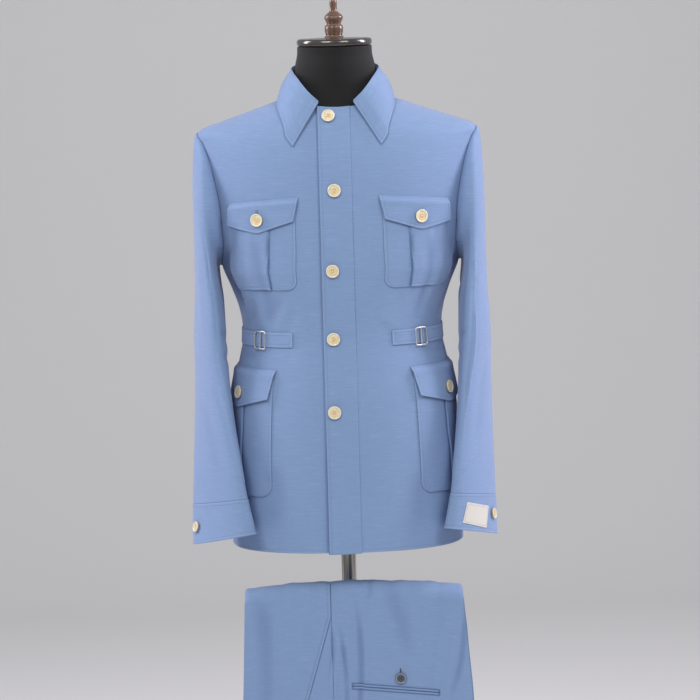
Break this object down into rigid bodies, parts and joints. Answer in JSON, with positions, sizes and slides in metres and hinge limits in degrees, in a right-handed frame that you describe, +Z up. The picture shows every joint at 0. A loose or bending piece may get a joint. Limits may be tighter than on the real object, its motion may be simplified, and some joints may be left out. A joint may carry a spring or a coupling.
{
  "type": "safari suit on a limbless dress form",
  "caption": "Button-front safari jacket with patch pockets, waist tabs and shirt collar, worn by a torso form, with its trousers folded over a bar on the same stand.",
  "frame": {"origin": "middle of the round base's underside, on the pole's axis", "axes": "+Z up; -Y the way the jacket's front faces; +X the wearer's left"},
  "size_m": [0.4912, 0.35, 1.627],
  "materials": {
    "suit_cloth": "plain woven wool and linen blend, soft sheen",
    "button_horn": "polished cream horn",
    "button_dark": "polished dark horn",
    "buckle_metal": "brushed",
    "patch_woven": "smooth woven patch, blank",
    "form_cloth": "matt black stretch cover",
    "cap_gloss": "polished",
    "turned_wood": "lacquered",
    "pole_chrome": "polished",
    "base_paint": "satin powder coat"
  },
  "bodies": {
    "root": {"jacket_front_left": "suit_cloth", "jacket_front_right": "suit_cloth", "jacket_back": "suit_cloth", "placket": "suit_cloth", "collar_stand": "suit_cloth", "collar_leaf": "suit_cloth", "top_sleeve_left": "suit_cloth", "top_sleeve_right": "suit_cloth", "under_sleeve_left": "suit_cloth", "under_sleeve_right": "suit_cloth", "cuff_left": "suit_cloth", "cuff_right": "suit_cloth", "chest_pocket_left": "suit_cloth", "chest_pocket_right": "suit_cloth", "chest_flap_left": "suit_cloth", "chest_flap_right": "suit_cloth", "hip_pocket_left": "suit_cloth", "hip_pocket_right": "suit_cloth", "hip_flap_left": "suit_cloth", "hip_flap_right": "suit_cloth", "tab_front_left": "suit_cloth", "tab_front_right": "suit_cloth", "tab_side_left": "suit_cloth", "tab_side_right": "suit_cloth", "trouser_core": "suit_cloth", "trouser_front": "suit_cloth", "trouser_pocket_facing": "suit_cloth", "trouser_back": "suit_cloth", "waistband": "suit_cloth", "trouser_welt": "suit_cloth", "front_button_1": "button_horn", "front_button_2": "button_horn", "front_button_3": "button_horn", "front_button_4": "button_horn", "front_button_5": "button_horn", "chest_button_left": "button_horn", "chest_button_right": "button_horn", "hip_button_left": "button_horn", "hip_button_right": "button_horn", "cuff_button_left": "button_horn", "cuff_button_right": "button_horn", "trouser_button": "button_dark", "buckle_left": "buckle_metal", "buckle_right": "buckle_metal", "sleeve_patch": "patch_woven", "form_torso": "form_cloth", "neck_cap": "cap_gloss", "finial": "turned_wood", "pole": "pole_chrome", "base": "base_paint", "trouser_post": "base_paint", "trouser_bar": "base_paint"}
  },
  "joints": []
}
